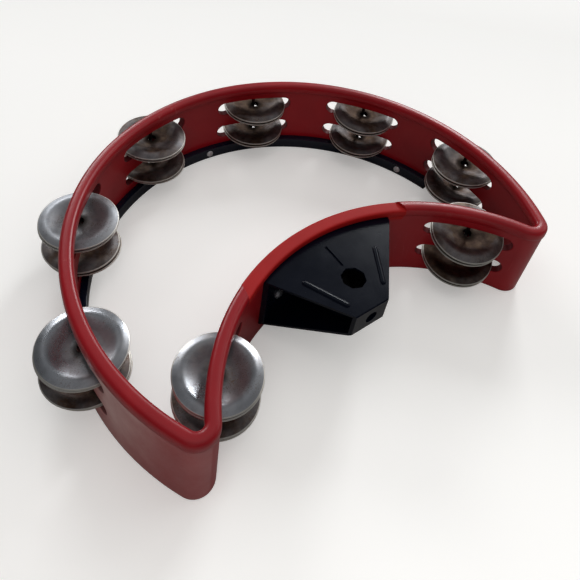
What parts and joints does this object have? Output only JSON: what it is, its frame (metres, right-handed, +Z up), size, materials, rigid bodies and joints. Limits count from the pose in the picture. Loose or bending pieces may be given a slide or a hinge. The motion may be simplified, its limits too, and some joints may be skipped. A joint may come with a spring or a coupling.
{
  "type": "tambourine",
  "caption": "Crescent tambourine: red moulded frame with a rounded rim and grip, pairs of dished metal jingles on upright pins, black bumper strip and stand bracket.",
  "frame": {"origin": "middle of the overall box in plan, on the plane of the resting face", "axes": "+X from one rounded tip to the other, +Y from the grip towards the outer arc, +Z up from the resting face to the rim"},
  "size_m": [0.294, 0.2083, 0.0521],
  "materials": {
    "red_plastic": "gloss",
    "black_strip": "gloss",
    "black_bracket": "satin",
    "screw_steel": "gloss",
    "pin_steel": "satin",
    "jingle_metal": "satin, worn"
  },
  "bodies": {
    "frame_body": {"frame": "red_plastic", "bumper_strip": "black_strip", "strip_screws": "screw_steel", "bracket": "black_bracket", "bracket_screws": "screw_steel", "pin_1": "pin_steel", "pin_2": "pin_steel", "pin_3": "pin_steel", "pin_4": "pin_steel", "pin_5": "pin_steel", "pin_6": "pin_steel", "pin_7": "pin_steel", "pin_8": "pin_steel"},
    "j1ua": {"jingle_1ua": "jingle_metal"},
    "j1ub": {"jingle_1ub": "jingle_metal"},
    "j1la": {"jingle_1la": "jingle_metal"},
    "j1lb": {"jingle_1lb": "jingle_metal"},
    "j2ua": {"jingle_2ua": "jingle_metal"},
    "j2ub": {"jingle_2ub": "jingle_metal"},
    "j2la": {"jingle_2la": "jingle_metal"},
    "j2lb": {"jingle_2lb": "jingle_metal"},
    "j3ua": {"jingle_3ua": "jingle_metal"},
    "j3ub": {"jingle_3ub": "jingle_metal"},
    "j3la": {"jingle_3la": "jingle_metal"},
    "j3lb": {"jingle_3lb": "jingle_metal"},
    "j4ua": {"jingle_4ua": "jingle_metal"},
    "j4ub": {"jingle_4ub": "jingle_metal"},
    "j4la": {"jingle_4la": "jingle_metal"},
    "j4lb": {"jingle_4lb": "jingle_metal"},
    "j5ua": {"jingle_5ua": "jingle_metal"},
    "j5ub": {"jingle_5ub": "jingle_metal"},
    "j5la": {"jingle_5la": "jingle_metal"},
    "j5lb": {"jingle_5lb": "jingle_metal"},
    "j6ua": {"jingle_6ua": "jingle_metal"},
    "j6ub": {"jingle_6ub": "jingle_metal"},
    "j6la": {"jingle_6la": "jingle_metal"},
    "j6lb": {"jingle_6lb": "jingle_metal"},
    "j7ua": {"jingle_7ua": "jingle_metal"},
    "j7ub": {"jingle_7ub": "jingle_metal"},
    "j7la": {"jingle_7la": "jingle_metal"},
    "j7lb": {"jingle_7lb": "jingle_metal"},
    "j8ua": {"jingle_8ua": "jingle_metal"},
    "j8ub": {"jingle_8ub": "jingle_metal"},
    "j8la": {"jingle_8la": "jingle_metal"},
    "j8lb": {"jingle_8lb": "jingle_metal"}
  },
  "joints": [
    {"name": "slide_1ua", "type": "slide", "parent": "frame_body", "child": "j1ua", "axis": [0, 0, 1], "range_m": [-0.00035, 0.0022]},
    {"name": "slide_1ub", "type": "slide", "parent": "frame_body", "child": "j1ub", "axis": [0, 0, 1], "range_m": [-0.00045, 0.00035]},
    {"name": "slide_1la", "type": "slide", "parent": "frame_body", "child": "j1la", "axis": [0, 0, 1], "range_m": [-0.00035, 0.0022]},
    {"name": "slide_1lb", "type": "slide", "parent": "frame_body", "child": "j1lb", "axis": [0, 0, 1], "range_m": [-0.00045, 0.00035]},
    {"name": "slide_2ua", "type": "slide", "parent": "frame_body", "child": "j2ua", "axis": [0, 0, 1], "range_m": [-0.00035, 0.0022]},
    {"name": "slide_2ub", "type": "slide", "parent": "frame_body", "child": "j2ub", "axis": [0, 0, 1], "range_m": [-0.00045, 0.00035]},
    {"name": "slide_2la", "type": "slide", "parent": "frame_body", "child": "j2la", "axis": [0, 0, 1], "range_m": [-0.00035, 0.0022]},
    {"name": "slide_2lb", "type": "slide", "parent": "frame_body", "child": "j2lb", "axis": [0, 0, 1], "range_m": [-0.00045, 0.00035]},
    {"name": "slide_3ua", "type": "slide", "parent": "frame_body", "child": "j3ua", "axis": [0, 0, 1], "range_m": [-0.00035, 0.0022]},
    {"name": "slide_3ub", "type": "slide", "parent": "frame_body", "child": "j3ub", "axis": [0, 0, 1], "range_m": [-0.00045, 0.00035]},
    {"name": "slide_3la", "type": "slide", "parent": "frame_body", "child": "j3la", "axis": [0, 0, 1], "range_m": [-0.00035, 0.0022]},
    {"name": "slide_3lb", "type": "slide", "parent": "frame_body", "child": "j3lb", "axis": [0, 0, 1], "range_m": [-0.00045, 0.00035]},
    {"name": "slide_4ua", "type": "slide", "parent": "frame_body", "child": "j4ua", "axis": [0, 0, 1], "range_m": [-0.00035, 0.0022]},
    {"name": "slide_4ub", "type": "slide", "parent": "frame_body", "child": "j4ub", "axis": [0, 0, 1], "range_m": [-0.00045, 0.00035]},
    {"name": "slide_4la", "type": "slide", "parent": "frame_body", "child": "j4la", "axis": [0, 0, 1], "range_m": [-0.00035, 0.0022]},
    {"name": "slide_4lb", "type": "slide", "parent": "frame_body", "child": "j4lb", "axis": [0, 0, 1], "range_m": [-0.00045, 0.00035]},
    {"name": "slide_5ua", "type": "slide", "parent": "frame_body", "child": "j5ua", "axis": [0, 0, 1], "range_m": [-0.00035, 0.0022]},
    {"name": "slide_5ub", "type": "slide", "parent": "frame_body", "child": "j5ub", "axis": [0, 0, 1], "range_m": [-0.00045, 0.00035]},
    {"name": "slide_5la", "type": "slide", "parent": "frame_body", "child": "j5la", "axis": [0, 0, 1], "range_m": [-0.00035, 0.0022]},
    {"name": "slide_5lb", "type": "slide", "parent": "frame_body", "child": "j5lb", "axis": [0, 0, 1], "range_m": [-0.00045, 0.00035]},
    {"name": "slide_6ua", "type": "slide", "parent": "frame_body", "child": "j6ua", "axis": [0, 0, 1], "range_m": [-0.00035, 0.0022]},
    {"name": "slide_6ub", "type": "slide", "parent": "frame_body", "child": "j6ub", "axis": [0, 0, 1], "range_m": [-0.00045, 0.00035]},
    {"name": "slide_6la", "type": "slide", "parent": "frame_body", "child": "j6la", "axis": [0, 0, 1], "range_m": [-0.00035, 0.0022]},
    {"name": "slide_6lb", "type": "slide", "parent": "frame_body", "child": "j6lb", "axis": [0, 0, 1], "range_m": [-0.00045, 0.00035]},
    {"name": "slide_7ua", "type": "slide", "parent": "frame_body", "child": "j7ua", "axis": [0, 0, 1], "range_m": [-0.00035, 0.0022]},
    {"name": "slide_7ub", "type": "slide", "parent": "frame_body", "child": "j7ub", "axis": [0, 0, 1], "range_m": [-0.00045, 0.00035]},
    {"name": "slide_7la", "type": "slide", "parent": "frame_body", "child": "j7la", "axis": [0, 0, 1], "range_m": [-0.00035, 0.0022]},
    {"name": "slide_7lb", "type": "slide", "parent": "frame_body", "child": "j7lb", "axis": [0, 0, 1], "range_m": [-0.00045, 0.00035]},
    {"name": "slide_8ua", "type": "slide", "parent": "frame_body", "child": "j8ua", "axis": [0, 0, 1], "range_m": [-0.00035, 0.0022]},
    {"name": "slide_8ub", "type": "slide", "parent": "frame_body", "child": "j8ub", "axis": [0, 0, 1], "range_m": [-0.00045, 0.00035]},
    {"name": "slide_8la", "type": "slide", "parent": "frame_body", "child": "j8la", "axis": [0, 0, 1], "range_m": [-0.00035, 0.0022]},
    {"name": "slide_8lb", "type": "slide", "parent": "frame_body", "child": "j8lb", "axis": [0, 0, 1], "range_m": [-0.00045, 0.00035]}
  ]
}
